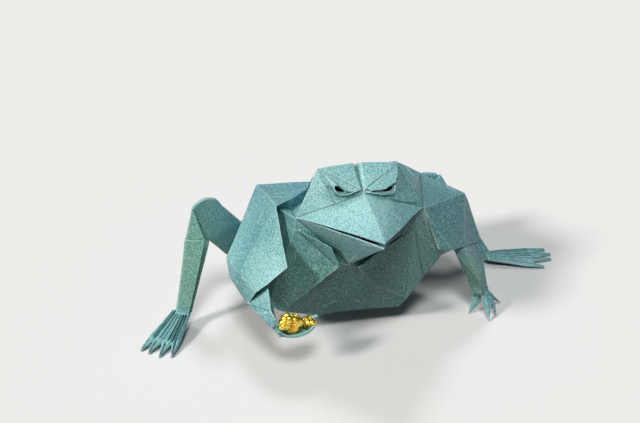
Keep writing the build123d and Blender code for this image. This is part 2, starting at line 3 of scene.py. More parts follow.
import bmesh
import bpy
import numpy as np
from mathutils.bvhtree import BVHTree
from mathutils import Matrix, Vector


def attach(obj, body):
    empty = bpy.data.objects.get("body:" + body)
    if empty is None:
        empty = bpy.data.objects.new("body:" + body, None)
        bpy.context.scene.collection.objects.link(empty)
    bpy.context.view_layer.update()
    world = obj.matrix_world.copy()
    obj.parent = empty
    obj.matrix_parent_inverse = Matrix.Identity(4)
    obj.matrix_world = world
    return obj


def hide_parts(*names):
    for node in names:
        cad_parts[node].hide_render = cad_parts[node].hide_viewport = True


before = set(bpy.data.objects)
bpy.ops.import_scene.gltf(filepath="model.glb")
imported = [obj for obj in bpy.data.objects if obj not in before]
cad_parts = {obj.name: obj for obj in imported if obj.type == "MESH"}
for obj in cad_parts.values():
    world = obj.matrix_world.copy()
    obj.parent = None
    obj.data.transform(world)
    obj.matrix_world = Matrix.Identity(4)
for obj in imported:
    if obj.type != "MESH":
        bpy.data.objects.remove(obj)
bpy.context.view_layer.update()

# The folded sheet
# One large square of thick handmade paper, pearly teal and flecked, folded into the whole frog.
# Its creases are a little round and worn pale, and its facets are never quite flat.
# Light is painted in to make parts of it paler and greener, and shade to darken its inward creases, the feet's
# grooves, the belly and below the lids.
FACET_EDGE, CREASE_EDGE = 0.0030, 0.0012      # longest mesh edge inside a facet and along a crease
CUTTING_ROUNDS = 20                           # how often the edges are gone through to get there
LINE_REACH = 0.0024                           # this near to a soft crease the mesh is as fine as at a crease
MERGE_REACH = 1e-6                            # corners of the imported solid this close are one
CREASE_ANGLE = math.radians(14)               # less than this is a bend of the paper, not a crease
SHADING_ANGLE = math.radians(110)             # a turn sharper than this is shaded as a hard edge
CREASE_ROUNDING = 0.00010                     # how far a crease is rubbed back
WAVE_SIZES = np.array([0.060, 0.024, 0.009])
WAVE_HEIGHTS = np.array([0.00045, 0.00022, 0.00006])
WAVES_PER_SIZE = 6
GROUNDED = 0.004                              # below this height the paper's waves die away
SOFT_CREASES = np.array([                     # creases that were folded and opened again, both ends in mm
    [(-15.4, -43.1, 71.6), (-9.8, -44.9, 72.5)], [(-9.8, -44.9, 72.5), (-3.7, -46.2, 72.4)],     # snout
    [(0.6, -26.6, 79.6), (7.6, -21.5, 82.8)], [(7.6, -21.5, 82.8), (11.1, -19.6, 83.8)],         # left brow
    [(-27.7, -30.7, 45.0), (-18.8, -36.4, 46.6)],                                                # chest flap
    [(-38.7, -20.3, 16.9), (-18.8, -36.5, 47.1)],                                                # its lower edge
    [(18.8, -26.9, 58.0), (16.5, -23.6, 16.2)],                                                  # belly's left
    [(70.0, 21.8, 8.7), (72.4, 19.0, 3.3)], [(72.6, 21.0, 6.6), (75.2, 16.5, 3.1)],              # left ankle
]) / 1000
SCORED_CREASES = np.array([                   # creases pressed into the sheet, with painted shade along them
    [(-34.7, -29.0, 69.8), (-14.1, -29.7, 75.8)], [(-14.1, -29.7, 75.8), (-8.6, -29.1, 76.7)],   # right cheek
    [(-23.3, -24.1, 85.3), (-20.8, -26.6, 79.4)], [(-20.8, -26.6, 79.4), (-19.1, -30.3, 74.8)],  # beside the eye
    [(5.8, -30.8, 72.7), (21.2, -25.8, 66.8)],                                                   # left cheek
    [(-16.0, -27.2, 28.9), (-16.2, -23.1, 19.5)], [(-16.2, -23.1, 19.5), (-15.3, -19.8, 11.7)],  # belly
    [(22.4, -9.8, 65.5), (25.9, -12.2, 60.6)],                                                   # behind the head
]) / 1000
SLEEVE_EDGE_HIGHLIGHTS = np.array([                       # front of the left sleeve, with a painted highlight along it, palest of all
    [(23.2, -26.1, 62.5), (30.8, -24.3, 41.3)], [(25.0, -18.8, 59.8), (30.8, -24.3, 41.3)],
]) / 1000
CREASE_LINES = np.concatenate([SOFT_CREASES, SCORED_CREASES, SLEEVE_EDGE_HIGHLIGHTS])
SOFT_REACH, SOFT_HEIGHT = 0.0008, 0.00016     # half width and height of a soft ridge or scored groove
HIGHLIGHT_REACH, HIGHLIGHT_TONE = 0.0016, 2.0           # half width of the painted highlight on an edge, and how strongly it is painted


def srgb(red, green, blue):
    """A colour of 0 to 255 as the eye sees it, as linear red, green, blue and alpha."""
    seen = np.array([red, green, blue]) / 255
    return (*np.where(seen > 0.04045, ((seen + 0.055) / 1.055) ** 2.4, seen / 12.92), 1.0)


def line_distance(points, lines):
    """The distance from each point to the nearest of the lines: to the place on each, between its ends,
    that the point falls on at a right angle, or to the nearer end."""
    start, end = lines[:, 0], lines[:, 1]
    along = end - start
    from_start = points[:, None] - start
    share = np.clip((from_start * along).sum(2) / (along ** 2).sum(1), 0, 1)
    return np.linalg.norm(from_start - share[..., None] * along, axis=2).min(1)


def halved(points, faces, sharp, facet_edge, crease_edge):
    """Triangles cut in two at the middle of an edge, round after round, until nearly every edge is short
    enough, shorter still at a crease or near a crease line. A round cuts only the edges that, for their
    limit, are the longest of both their triangles, so a triangle has one cut at most and no gap opens.
    Gives the points, the triangles and the sharp edges, whose halves stay sharp."""
    fine = line_distance(points, CREASE_LINES) < LINE_REACH
    fine[sharp.ravel()] = True
    for _ in range(CUTTING_ROUNDS):
        sides = np.sort(np.stack([faces, np.roll(faces, -1, 1)], 2), 2)
        keys, side = np.unique(sides[..., 0] * len(points) + sides[..., 1], return_inverse=True)
        side = side.reshape(-1, 3)
        a, b = np.divmod(keys, len(points))
        limits = np.where(fine[a] | fine[b], crease_edge, facet_edge)
        excess = (np.linalg.norm(points[a] - points[b], axis=1) / limits).round(6)
        rank = np.empty(len(keys), int)
        rank[np.argsort(excess, kind="stable")] = np.arange(len(keys))
        picked = rank[side].argmax(1)
        longest = side[np.arange(len(faces)), picked]
        cut = (excess > 1) & (np.bincount(longest, minlength=len(keys)) == np.bincount(side.ravel()))
        middle = len(points) - 1 + np.cumsum(cut)
        is_sharp = np.zeros(len(keys), bool)
        is_sharp[np.searchsorted(keys, sharp[:, 0] * len(points) + sharp[:, 1])] = True
        halves = np.concatenate([np.stack([end, middle], 1)[is_sharp & cut] for end in (a, b)])
        sharp = np.concatenate([np.stack([a, b], 1)[is_sharp & ~cut], halves])
        added = (points[a[cut]] + points[b[cut]]) / 2
        fine = np.concatenate([fine, is_sharp[cut] | (line_distance(added, CREASE_LINES) < LINE_REACH)])
        points = np.concatenate([points, added])
        split = cut[longest]
        corners = (picked[split, None] + np.arange(3)) % 3
        first, second, third = np.take_along_axis(faces[split], corners, 1).T
        between = middle[longest[split]]
        faces = np.concatenate([faces[~split], np.stack([first, between, third], 1),
                                np.stack([between, second, third], 1)])
    return points, faces, sharp


def edge_ends(mesh):
    """The two vertices of each of a mesh's edges."""
    ends = np.empty(len(mesh.edges) * 2, int)
    mesh.edges.foreach_get("vertices", ends)
    return ends.reshape(-1, 2)


def refined_copy(node, name, facet_edge, crease_edge):
    """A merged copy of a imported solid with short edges, which are sharp where the angle between their faces
    is CREASE_ANGLE or more."""
    bm = bmesh.new()
    bm.from_mesh(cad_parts[node].data)
    bmesh.ops.remove_doubles(bm, verts=bm.verts, dist=MERGE_REACH)
    bmesh.ops.triangulate(bm, faces=bm.faces)
    bm.verts.index_update()
    points = np.array([v.co for v in bm.verts])
    faces = np.array([[v.index for v in face.verts] for face in bm.faces])
    sharp = np.sort([[v.index for v in edge.verts] for edge in bm.edges
                     if edge.calc_face_angle(math.pi) >= CREASE_ANGLE], 1)
    bm.free()
    points, faces, sharp = halved(points, faces, sharp, facet_edge, crease_edge)
    mesh = bpy.data.meshes.new(name)
    mesh.from_pydata(points, [], faces)
    key = (len(points), 1)      # turns a pair of vertices into one number
    mesh.edges.foreach_set("use_edge_sharp", np.isin(np.sort(edge_ends(mesh), 1) @ key, sharp @ key))
    return new_piece(name, mesh)


def new_piece(name, mesh):
    """An object for a mesh, put into the scene."""
    piece = bpy.data.objects.new(name, mesh)
    bpy.context.scene.collection.objects.link(piece)
    return piece


def read_points(piece, what="vertices", key="co"):
    """The mesh's vertices, or another of its lists of places, as an array of one row each."""
    items = getattr(piece.data, what)
    points = np.empty(len(items) * 3)
    items.foreach_get(key, points)
    return points.reshape(-1, 3)


def write_points(piece, points):
    """Puts the array of vertices back into the mesh."""
    piece.data.vertices.foreach_set("co", points.ravel())
    piece.data.update()


def paper_waves(points):
    """Soft bends of the sheet: for each wave size, several sine waves of the place along random directions,
    each a shift along its own random direction. The shift upwards dies away at the ground."""
    random = np.random.default_rng(7)
    shift = np.zeros_like(points)
    for size, height in zip(WAVE_SIZES, WAVE_HEIGHTS):
        along, aside = random.normal(size=(2, WAVES_PER_SIZE, 3))
        along /= np.linalg.norm(along, axis=1, keepdims=True)
        aside /= np.linalg.norm(aside, axis=1, keepdims=True)
        phase = random.uniform(0, 2 * math.pi, WAVES_PER_SIZE)
        waves = np.sin(2 * math.pi / size * points @ along.T + phase)
        shift += height / math.sqrt(WAVES_PER_SIZE) * waves @ aside
    shift[:, 2] *= np.clip(points[:, 2] / GROUNDED, 0, 1)
    return points + shift


def crease_sides(piece):
    """For each vertex, 1 on an outward crease or cut edge, -1 on an inward crease and 0 off them."""
    bm = bmesh.new()
    bm.from_mesh(piece.data)
    folded = np.array([(edge.verts[0].index, edge.verts[1].index, edge.is_convex)
                       for edge in bm.edges if not edge.smooth], int)
    bm.free()
    sides = np.zeros(len(piece.data.vertices))
    for outward, side in ((0, -1), (1, 1)):
        sides[folded[folded[:, 2] == outward, :2].ravel()] = side
    return sides


def rubbed_creases(piece, points, wear_and_highlight):
    """Worn vertices move towards the middle of their neighbours, by CREASE_ROUNDING at most."""
    a, b = edge_ends(piece.data).T
    middle, count = np.zeros_like(points), np.zeros(len(points))
    for end, other in ((a, b), (b, a)):
        np.add.at(middle, end, points[other])
        np.add.at(count, end, 1)
    pull = middle / count[:, None] - points
    reach = np.maximum(np.linalg.norm(pull, axis=1, keepdims=True), 1e-9)
    return points + pull * np.minimum(1, CREASE_ROUNDING / reach) * wear_and_highlight[:, None]


def within(points, middle, halves):
    """How deep each point is in an egg-shaped region: 1 in its middle, 0.5 on its skin, 0 well outside."""
    return np.clip(1 - np.linalg.norm((points - middle) / halves, axis=1) / 2, 0, 1)


def add_number(piece, name, values):
    """Stores one number for each vertex, for the piece's material to read."""
    piece.data.attributes.new(name, "FLOAT", "POINT").data.foreach_set("value", values.astype(np.float32))


def node_tools(tree):
    """Short ways to add a node to a tree, join two sockets and mix colours."""

    def node(kind, **values):
        made = tree.nodes.new(kind)
        for key, value in values.items():
            if hasattr(made, key):
                setattr(made, key, value)
            else:
                made.inputs[key.replace("_", " ").title()].default_value = value
        return made

    def join(source, target):
        tree.links.new(source, target)

    def mix(share, first, second):
        made = tree.nodes.new("ShaderNodeMix")
        made.data_type = "RGBA"
        for socket, value in ((made.inputs[0], share), (made.inputs[6], first), (made.inputs[7], second)):
            if isinstance(value, bpy.types.NodeSocket):
                join(value, socket)
            else:
                socket.default_value = value
        return made.outputs[2]

    return node, join, mix


def new_material(name):
    """An empty material with its shader and its node tools."""
    material = bpy.data.materials.new(name)
    material.use_nodes = True
    return material, material.node_tree.nodes["Principled BSDF"], *node_tools(material.node_tree)


def ranged(node, join, source, low, high, to_low=0.0, to_high=1.0):
    """A number spread from one range to another, and kept inside it."""
    made = node("ShaderNodeMapRange")
    for i, value in enumerate((low, high, to_low, to_high), 1):
        made.inputs[i].default_value = value
    join(source, made.inputs[0])
    return made.outputs[0]


def multiplied(node, join, first, second):
    """One number times another."""
    made = node("ShaderNodeMath", operation="MULTIPLY")
    join(first, made.inputs[0])
    join(second, made.inputs[1])
    return made.outputs[0]


def paper_finish():
    """Teal paper: clouds of bluer and greener pulp, fine pearly flecks, and outward creases rubbed pale. Painted
    shade darkens inward creases, the feet's grooves, the belly and below the lids, the feet are darker, and
    painted light, warm bounce and a sleeve-edge highlight make parts paler or greener."""
    material, shader, node, join, mix = new_material("folded_paper")
    place = node("ShaderNodeTexCoord").outputs["Object"]
    clouds = node("ShaderNodeTexNoise", scale=45.0, detail=3.0)
    pulp = node("ShaderNodeTexNoise", scale=520.0, detail=3.0, roughness=0.6)
    flecks = node("ShaderNodeTexNoise", scale=2100.0, detail=2.0, roughness=0.7)
    for texture in (clouds, pulp, flecks):
        join(place, texture.inputs["Vector"])
    cloud, pulp, fleck = (texture.outputs["Fac"] for texture in (clouds, pulp, flecks))
    tint = {name: node("ShaderNodeAttribute", attribute_name=name).outputs["Fac"]
            for name in ("pale", "green", "deep", "crease", "pleat")}
    sheet = mix(ranged(node, join, cloud, 0.35, 0.65), srgb(70, 141, 160), srgb(86, 153, 156))
    # painted light: paler in the regions of painted light
    sheet = mix(tint["pale"], sheet, srgb(156, 210, 208))
    # painted warm bounce light: greener on the chest, belly, right shin and inside of the left forearm
    sheet = mix(ranged(node, join, tint["green"], 0, 1, 0, 0.75), sheet, srgb(110, 172, 126))
    # painted shade of the belly and below the lids, and darker feet
    sheet = mix(tint["deep"], sheet, srgb(30, 112, 102))
    sheet = mix(ranged(node, join, pulp, 0.40, 0.75, 0.0, 0.30), sheet, srgb(160, 210, 210))
    sheet = mix(ranged(node, join, fleck, 0.51, 0.63, 0.0, 0.85), sheet, srgb(182, 226, 226))
    sheet = mix(ranged(node, join, fleck, 0.48, 0.34, 0.0, 0.90), sheet, srgb(32, 86, 98))
    # the feet's pleats: paler on their ridges, and painted shade in the grooves between them
    sheet = mix(ranged(node, join, tint["pleat"], 0.2, 0.9, 0.0, 0.60), sheet, srgb(160, 214, 218))
    sheet = mix(ranged(node, join, tint["pleat"], -0.1, -0.6, 0.0, 0.92), sheet, srgb(16, 54, 66))
    rub = ranged(node, join, pulp, 0.35, 0.62, 0.10, 0.60)
    sheet = mix(multiplied(node, join, ranged(node, join, tint["crease"], 0.3, 0.9), rub),
                sheet, srgb(206, 232, 224))
    # painted highlight along the front of the left sleeve
    sheet = mix(ranged(node, join, tint["crease"], 1.1, 1.7), sheet, srgb(214, 238, 226))
    # painted shade along inward and scored creases
    sheet = mix(ranged(node, join, tint["crease"], -0.2, -0.8, 0.0, 0.75), sheet, srgb(30, 78, 84))
    join(sheet, shader.inputs["Base Color"])
    join(ranged(node, join, fleck, 0.3, 0.7, 0.54, 0.38), shader.inputs["Roughness"])
    grain = node("ShaderNodeBump", distance=0.00007, strength=0.5)
    join(pulp, grain.inputs["Height"])
    fine_grain = node("ShaderNodeBump", distance=0.00004, strength=0.6)
    join(fleck, fine_grain.inputs["Height"])
    join(grain.outputs[0], fine_grain.inputs["Normal"])
    join(fine_grain.outputs[0], shader.inputs["Normal"])
    shader.inputs["Specular IOR Level"].default_value = 0.55
    return material


# The middles and half sizes of egg-shaped regions where light is painted in paler, warm bounce light is painted
# in greener, or shadow is painted in darker.
PAINTED_LIGHT_REGIONS = np.array([[(-0.016, -0.036, 0.080), (0.028, 0.034, 0.016)],     # right half of the head
                      [(-0.048, -0.034, 0.044), (0.010, 0.014, 0.012)],     # tip of the right sleeve
                      [(-0.038, -0.046, 0.021), (0.013, 0.010, 0.005)],     # palm
                      [(-0.072, 0.002, 0.034), (0.020, 0.020, 0.038)],      # right hind leg
                      [(0.048, -0.020, 0.019), (0.006, 0.007, 0.014)]])     # inside of the left forearm
PAINTED_BOUNCE_REGIONS = np.array([[(-0.008, -0.026, 0.032), (0.040, 0.014, 0.034)],    # chest and belly
                       [(0.048, -0.020, 0.019), (0.006, 0.007, 0.014)],     # inside of the left forearm
                       [(-0.078, 0.002, 0.032), (0.014, 0.014, 0.034)]])    # right shin
LID_SHADOW_REGIONS = np.array([[(-0.019, -0.028, 0.078), (0.004, 0.004, 0.004)],    # painted shadow that the lids cast below the eyes
                       [(0.004, -0.029, 0.075), (0.006, 0.0025, 0.0025)]])
BELLY_SHADE_EDGES = ((SOFT_CREASES[5], (-0.3, -0.9, -0.2)),       # the crease lines that bound the painted shade of the belly, and the way each facet faces
               (SOFT_CREASES[6], (0.4, -0.9, -0.1)))
BELLY_SHADE_DEPTH = 0.45                 # the painted shade of the belly starts this deep in the greener region of the belly
FLAP_SHADE_SHARE = 0.65                  # how much of the belly's painted shade the right chest flap has
CHIN_BACK = -0.0365                # the chin and throat lie in front of the belly
EDGE_BLUR, CHIN_BLUR = 0.0008, 0.0010      # over how far the painted shade of the belly fades at its edges
# how dark the feet are painted, and how dark the painted shadow below the lids is
FOOT_TONE, LID_SHADOW_TONE = 0.5, 0.6
FOOT_HEIGHT, SOLE_HEIGHT = 0.011, 0.0004   # a foot lies between these heights
TOE_HEELS = np.array([[(-87.4, 1.7, 9.0), (-78.2, 2.7, 7.5)], [(72.8, 24.7, 3.0), (71.3, 17.7, 3.0)]]) / 1000
TOE_TIPS = np.array([[(-104.5, -13.7, 0.0), (-101.3, -16.9, 0.0), (-96.8, -20.9, 0.0), (-91.5, -22.2, 0.0)],
                     [(104.3, 24.2, 0.0), (105.5, 19.2, 0.0), (104.2, 14.7, 0.0), (98.5, 8.7, 0.0)]]) / 1000
TOE_PART, TOE_TAPER = 0.72, 0.62   # share of the length where toes part, and how much narrower a tip is
TOE_REACH = 0.0045                 # how far from its middle line a toe reaches at most
PLEAT_ROUNDS, PLEAT_RELIEF = 12, 0.00035   # the relief is how far a ridge rises and a groove sinks


def toe_places(points):
    """For each point its nearest toe line, from between the heel's corners to the toe's tip, seen from
    above: the share along it, the vector aside from it, and the length of that vector."""
    shares = (np.arange(4)[:, None] + 0.5) / 4
    starts = (TOE_HEELS[:, :1] * (1 - shares) + TOE_HEELS[:, 1:] * shares).reshape(-1, 3)[:, :2]
    runs = TOE_TIPS.reshape(-1, 3)[:, :2] - starts
    away = points[:, None, :2] - starts
    share = np.clip((away * runs).sum(2) / (runs ** 2).sum(1), 0, 1)
    aside = away - share[..., None] * runs
    distance = np.linalg.norm(aside, axis=2)
    nearest, each = distance.argmin(1), np.arange(len(points))
    return share[each, nearest], aside[each, nearest], distance[each, nearest]


def spread_sides(piece, sides, rounds):
    """Values of crease_sides carried on over the facets: a vertex off the creases takes the mean of its
    neighbours, again and again, so a pleat runs evenly from its ridge to its groove."""
    a, b = edge_ends(piece.data).T
    count = np.bincount(a, minlength=len(sides)) + np.bincount(b, minlength=len(sides))
    values = sides.copy()
    for _ in range(rounds):
        total = np.bincount(a, values[b], len(sides)) + np.bincount(b, values[a], len(sides))
        values = np.where(sides == 0, total / count, sides)
    return values


def past_line(points, line, facing, blur):
    """0 on one side of a line and 1 on the other, over a blur: the line and the way its facet faces span a
    plane, and the distance from that plane is divided by the blur."""
    aside = np.cross(line[1] - line[0], facing)
    return np.clip((points - line[0]) @ (aside / np.linalg.norm(aside)) / blur + 0.5, 0, 1)


def in_regions(points, regions):
    """How deep each point is in the nearest region: 1 in its middle half, 0.5 on its skin, and 0 from half
    as far out again."""
    return np.max([np.clip(2 * within(points, *region) - 0.5, 0, 1) for region in regions], axis=0)


paper = paper_finish()
paper_frog = refined_copy("folded_frog", "paper_frog", FACET_EDGE, CREASE_EDGE)
flat_points = read_points(paper_frog)
frog_creases = crease_sides(paper_frog)
soft, scored, wear_and_highlight = (np.clip(1 - line_distance(flat_points, some) / reach, 0, 1) for some, reach in (
    (SOFT_CREASES, SOFT_REACH), (SCORED_CREASES, SOFT_REACH), (SLEEVE_EDGE_HIGHLIGHTS, HIGHLIGHT_REACH)))
toe_share, toe_aside, toe_distance = toe_places(flat_points)
in_foot = (toe_distance < TOE_REACH) & (flat_points[:, 2] < FOOT_HEIGHT) & (toe_share > 0)
pleat = spread_sides(paper_frog, frog_creases, PLEAT_ROUNDS) * in_foot
# painted shade over the belly and lower chest, where the head's shadow falls
past_flap, before_strip = (past_line(flat_points, *edge, EDGE_BLUR) for edge in BELLY_SHADE_EDGES)
belly_shade = (FLAP_SHADE_SHARE + (1 - FLAP_SHADE_SHARE) * past_flap) * before_strip
belly_shade *= np.clip((flat_points[:, 1] - CHIN_BACK) / CHIN_BLUR, 0, 1)
belly_shade *= within(flat_points, *PAINTED_BOUNCE_REGIONS[0]) > BELLY_SHADE_DEPTH
# crease: outward creases rubbed pale, inward and scored ones painted with shade, plus the sleeve edge's painted
# highlight
add_number(paper_frog, "crease", np.where(frog_creases == 0, soft - scored, frog_creases) + HIGHLIGHT_TONE * wear_and_highlight)
add_number(paper_frog, "pale", in_regions(flat_points, PAINTED_LIGHT_REGIONS))
add_number(paper_frog, "green", in_regions(flat_points, PAINTED_BOUNCE_REGIONS))
# painted shadow of the lids on the paper below them
lid_shadows = LID_SHADOW_TONE * in_regions(flat_points, LID_SHADOW_REGIONS)
# the painted shade, with the darker feet, for the material
add_number(paper_frog, "deep", np.max([belly_shade, FOOT_TONE * in_foot, lid_shadows], axis=0))
add_number(paper_frog, "pleat", pleat)
outwards = read_points(paper_frog, "vertex_normals", "vector")
raised = flat_points + SOFT_HEIGHT * (soft - scored)[:, None] * outwards
tip = np.clip((toe_share - TOE_PART) / (1 - TOE_PART), 0, 1) * in_foot
raised[:, :2] -= (TOE_TAPER * tip * tip * (3 - 2 * tip))[:, None] * toe_aside
raised[:, 2] = np.maximum(raised[:, 2] + PLEAT_RELIEF * pleat * (flat_points[:, 2] > SOLE_HEIGHT), 0)
write_points(paper_frog, paper_waves(rubbed_creases(paper_frog, raised, np.maximum(frog_creases, 0))))
paper_frog.data.set_sharp_from_angle(angle=SHADING_ANGLE)
paper_frog.data.shade_smooth()
paper_frog.data.materials.append(paper)
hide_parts("folded_frog")
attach(paper_frog, "root")

# The rolled fingertips
# The two ends of the palm's rim, where the sheet is rolled up tight into a thin fingertip.
# They are still the same sheet, and grow out of the rim.
FINGERTIPS = np.array([         # points along each roll, in mm
    [(-44.5, -49.9, 22.9), (-40.0, -49.9, 22.2), (-36.0, -49.0, 22.0), (-32.9, -46.9, 22.7),
     (-31.9, -46.2, 23.7)],
    [(-40.0, -40.3, 24.7), (-36.5, -40.1, 24.6), (-33.0, -40.2, 24.4), (-29.9, -40.8, 24.3),
     (-28.9, -40.9, 25.4)],
]) / 1000
FINGERTIP_RADII = np.array([0.00030, 0.00080])      # where a roll starts and near its end
FINGERTIP_STEPS, FINGERTIP_SIDES = 40, 24
ROLL_TURNS, ROLL_EDGE = 1.5, 0.12     # turns of the roll's outer edge, and its height as a share of the radius
CLOSING_FROM = 0.9                    # the share of the length where a roll starts to close


def rolled_tube(path, radii, steps, sides):
    """A rolled strip of paper on a path: the path's points are joined by a curve that takes their weighted
    mean with Bernstein weights, and a ring round each place of it has a radius that grows along the way and
    closes as a quarter circle at the end. A slight spiral step runs round the rings, as a rolled edge does."""
    t = np.linspace(0, 1, steps)[:, None]
    degree = len(path) - 1
    weights = np.array([math.comb(degree, k) for k in range(degree + 1)]) * t ** np.arange(degree + 1)
    weights = weights * (1 - t) ** (degree - np.arange(degree + 1))
    middles = weights @ path
    ways = np.gradient(middles, axis=0)
    ways /= np.linalg.norm(ways, axis=1, keepdims=True)
    across = np.cross(ways, (0.0, 0.0, 1.0))
    across /= np.linalg.norm(across, axis=1, keepdims=True)
    over = np.cross(across, ways)
    turn = np.linspace(0, 2 * math.pi, sides, endpoint=False)
    cap = np.sqrt(1 - np.clip((t - CLOSING_FROM) / (1 - CLOSING_FROM), 0, 1) ** 2)
    radius = (radii[0] + (radii[1] - radii[0]) * t) * cap
    radius = radius * (1 + ROLL_EDGE * ((turn / (2 * math.pi) + ROLL_TURNS * t) % 1))
    points = middles[:, None] + radius[..., None] * (
        np.cos(turn)[:, None] * across[:, None] + np.sin(turn)[:, None] * over[:, None])
    ring, side = np.meshgrid(np.arange(steps - 1), np.arange(sides), indexing="ij")
    after = (side + 1) % sides
    faces = np.stack([ring * sides + side, (ring + 1) * sides + side, (ring + 1) * sides + after,
                      ring * sides + after], -1).reshape(-1, 4)
    return points.reshape(-1, 3), faces


rolls = [rolled_tube(path, FINGERTIP_RADII, FINGERTIP_STEPS, FINGERTIP_SIDES) for path in FINGERTIPS]
mesh = bpy.data.meshes.new("rolled_fingertips")
mesh.from_pydata(np.vstack([points for points, _ in rolls]), [],
                 np.vstack([faces + i * len(rolls[0][0]) for i, (_, faces) in enumerate(rolls)]))
bm = bmesh.new()
bm.from_mesh(mesh)
bmesh.ops.remove_doubles(bm, verts=bm.verts, dist=MERGE_REACH)
bmesh.ops.holes_fill(bm, edges=bm.edges, sides=FINGERTIP_SIDES)
bmesh.ops.recalc_face_normals(bm, faces=bm.faces)
bm.to_mesh(mesh)
bm.free()
rolled_fingertips = new_piece("rolled_fingertips", mesh)
mesh.shade_smooth()
mesh.materials.append(paper)
# the fingertips take the palm's painted light all over
add_number(rolled_fingertips, "pale", np.ones(len(mesh.vertices)))
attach(rolled_fingertips, "root")

# The fibres
# Long pale plant fibres that lie in the surface of the handmade paper and stand a little proud of it.
# They are strewn thinly over the whole sheet, and a few longer ones show on the belly, sleeve and leg.
FIBRE_COUNT, FIBRE_STEPS = 170, 10
FIBRE_LENGTHS, FIBRE_WALL = (0.002, 0.008), 0.00007
STREWN_WIDTH, LONG_WIDTH = 0.00020, 0.00040
LOOK_FROM = 0.0004            # how far off the sheet a look for paper in front of it starts
INSIDE_REACH = 0.030          # a place with paper this close in front of it is inside a fold
TRIES_PER_FIBRE = 6           # places tried for each fibre, to be left with enough outside the folds
LONG_FACING = (0.0, -0.8, 0.6)      # the way that the facets under the long fibres face, roughly
LONG_FIBRES = np.array([      # both ends, in mm
    [(35.4, -16.4, 51.2), (33.5, -19.9, 49.0)], [(37.3, -18.5, 46.4), (34.8, -22.4, 44.2)],
    [(48.5, -10.4, 42.3), (47.7, -12.0, 41.7)], [(45.1, -16.6, 39.3), (43.2, -19.3, 38.1)],
    [(-23.0, -22.7, 19.8), (-23.9, -19.5, 12.2)], [(-25.8, -19.9, 13.7), (-26.4, -19.4, 12.4)],
    [(-13.3, -36.1, 47.6), (-12.2, -44.2, 56.7)], [(71.2, 21.1, 6.7), (72.9, 17.2, 3.0)],
    [(-17.6, -30.4, 36.6), (-16.6, -22.6, 18.4)], [(-28.6, -29.9, 43.6), (-20.3, -35.2, 46.0)],
]) / 1000


def strewn_places(piece, count):
    """Random places on the outside of a piece, each with its normal: triangles picked by their area, kept
    where a look along the normal meets nothing near."""
    random = np.random.default_rng(11)
    mesh = piece.data
    areas = np.empty(len(mesh.polygons))
    mesh.polygons.foreach_get("area", areas)
    picked = random.choice(len(areas), TRIES_PER_FIBRE * count, p=areas / areas.sum())
    middles, normals = (read_points(piece, "polygons", key)[picked] for key in ("center", "normal"))
    tree = BVHTree.FromObject(piece, bpy.context.evaluated_depsgraph_get())
    outside = [tree.ray_cast(Vector(m + LOOK_FROM * n), Vector(n), INSIDE_REACH)[0] is None
               for m, n in zip(middles, normals)]
    return middles[outside][:count], normals[outside][:count]


def fibre_bands(middles, alongs, normals, widths):
    """Flat bands: each runs from -1/2 to 1/2 of its direction, swings aside as a slow sine of its own phase
    and size, and has its two edges half its width to each side. Its width narrows to the ends."""
    random = np.random.default_rng(5)
    count = len(middles)
    asides = np.cross(normals, alongs)
    asides /= np.linalg.norm(asides, axis=1, keepdims=True)
    lengths = np.linalg.norm(alongs, axis=1)
    phase, turns, swing = random.uniform([[0], [0.4], [0.03]], [[6.3], [1.1], [0.12]], (3, count))
    share = np.linspace(-0.5, 0.5, FIBRE_STEPS)
    swung = (swing * lengths)[:, None] * np.sin(phase[:, None] + 2 * math.pi * turns[:, None] * share)
    line = middles[:, None] + alongs[:, None] * share[:, None] + asides[:, None] * swung[..., None]
    half = widths[:, None] / 2 * (1 - 0.7 * (2 * share) ** 4)
    edges = np.stack([line - asides[:, None] * half[..., None], line + asides[:, None] * half[..., None]], 2)
    first = (np.arange(count)[:, None] * FIBRE_STEPS + np.arange(FIBRE_STEPS - 1)).ravel() * 2
    return edges.reshape(-1, 3), np.stack([first, first + 2, first + 3, first + 1], 1)


def fibre_finish():
    """Pale plant fibre, a little uneven along its length."""
    material, shader, node, join, mix = new_material("plant_fibre")
    patches = node("ShaderNodeTexNoise", scale=700.0, detail=2.0)
    join(node("ShaderNodeTexCoord").outputs["Object"], patches.inputs["Vector"])
    shade = mix(ranged(node, join, patches.outputs["Fac"], 0.3, 0.7), srgb(176, 222, 206), srgb(224, 244, 232))
    join(shade, shader.inputs["Base Color"])
    shader.inputs["Roughness"].default_value = 0.6
    return material


strewn, strewn_normals = strewn_places(paper_frog, FIBRE_COUNT)
random = np.random.default_rng(2)
strewn_alongs = np.cross(strewn_normals, random.normal(size=strewn.shape))
strewn_alongs *= (random.uniform(*FIBRE_LENGTHS, len(strewn)) / np.linalg.norm(strewn_alongs, axis=1))[:, None]
long_alongs = LONG_FIBRES[:, 1] - LONG_FIBRES[:, 0]
points, faces = fibre_bands(
    np.vstack([strewn, LONG_FIBRES.mean(1)]), np.vstack([strewn_alongs, long_alongs]),
    np.vstack([strewn_normals, np.tile(LONG_FACING, (len(LONG_FIBRES), 1))]),
    np.repeat([STREWN_WIDTH, LONG_WIDTH], [len(strewn), len(LONG_FIBRES)]))
mesh = bpy.data.meshes.new("paper_fibres")
mesh.from_pydata(points, [], faces)
paper_fibres = new_piece("paper_fibres", mesh)
laid = paper_fibres.modifiers.new("laid", "SHRINKWRAP")
laid.target, laid.wrap_mode, laid.offset = paper_frog, "ABOVE_SURFACE", FIBRE_WALL / 2
thick = paper_fibres.modifiers.new("thick", "SOLIDIFY")
thick.thickness, thick.offset = FIBRE_WALL, 0
paper_fibres.data = bpy.data.meshes.new_from_object(
    paper_fibres.evaluated_get(bpy.context.evaluated_depsgraph_get()))
paper_fibres.modifiers.clear()
paper_fibres.data.materials.append(fibre_finish())
